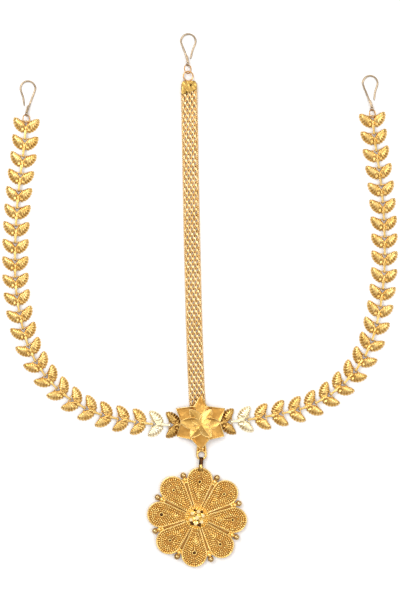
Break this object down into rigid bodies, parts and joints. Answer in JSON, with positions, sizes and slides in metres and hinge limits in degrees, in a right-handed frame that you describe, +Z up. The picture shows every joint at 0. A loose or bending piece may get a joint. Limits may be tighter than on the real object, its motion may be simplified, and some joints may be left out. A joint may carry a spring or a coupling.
{
  "type": "forehead chain",
  "caption": "Gilt forehead chain lying flat: side chains of leaf-pair links and a woven strap meet at a star motif with a filigree flower pendant; wire hooks at the ends.",
  "frame": {"origin": "on the floor under the middle of the star motif's flat back", "axes": "+Z up from the floor, +Y along the strap towards the crown of the head, +X towards the viewer's right"},
  "size_m": [0.1704, 0.2295, 0.0045],
  "materials": {
    "gold": "polished gilt",
    "wire_gold": "pale drawn wire",
    "strap_gold": "pale woven wire"
  },
  "bodies": {
    "root": {"link_left_01": "gold", "link_left_02": "gold", "link_left_03": "gold", "link_left_04": "gold", "link_left_05": "gold", "link_left_06": "gold", "link_left_07": "gold", "link_left_08": "gold", "link_left_09": "gold", "link_left_10": "gold", "link_left_11": "gold", "link_left_12": "gold", "link_left_13": "gold", "link_left_14": "gold", "link_left_15": "gold", "link_left_16": "gold", "link_left_17": "gold", "link_left_18": "gold", "link_left_19": "gold", "link_left_20": "gold", "link_left_21": "gold", "link_left_22": "gold", "link_left_23": "gold", "link_left_24": "gold", "link_right_01": "gold", "link_right_02": "gold", "link_right_03": "gold", "link_right_04": "gold", "link_right_05": "gold", "link_right_06": "gold", "link_right_07": "gold", "link_right_08": "gold", "link_right_09": "gold", "link_right_10": "gold", "link_right_11": "gold", "link_right_12": "gold", "link_right_13": "gold", "link_right_14": "gold", "link_right_15": "gold", "link_right_16": "gold", "link_right_17": "gold", "link_right_18": "gold", "link_right_19": "gold", "link_right_20": "gold", "link_right_21": "gold", "link_right_22": "gold", "link_right_23": "gold", "link_right_24": "gold", "ring_left": "gold", "ring_right": "gold", "ring_top": "gold", "hook_left": "wire_gold", "hook_right": "wire_gold", "hook_top": "wire_gold", "strap_end_cap": "gold", "strap_mesh": "strap_gold", "motif": "gold", "pendant": "gold"}
  },
  "joints": []
}
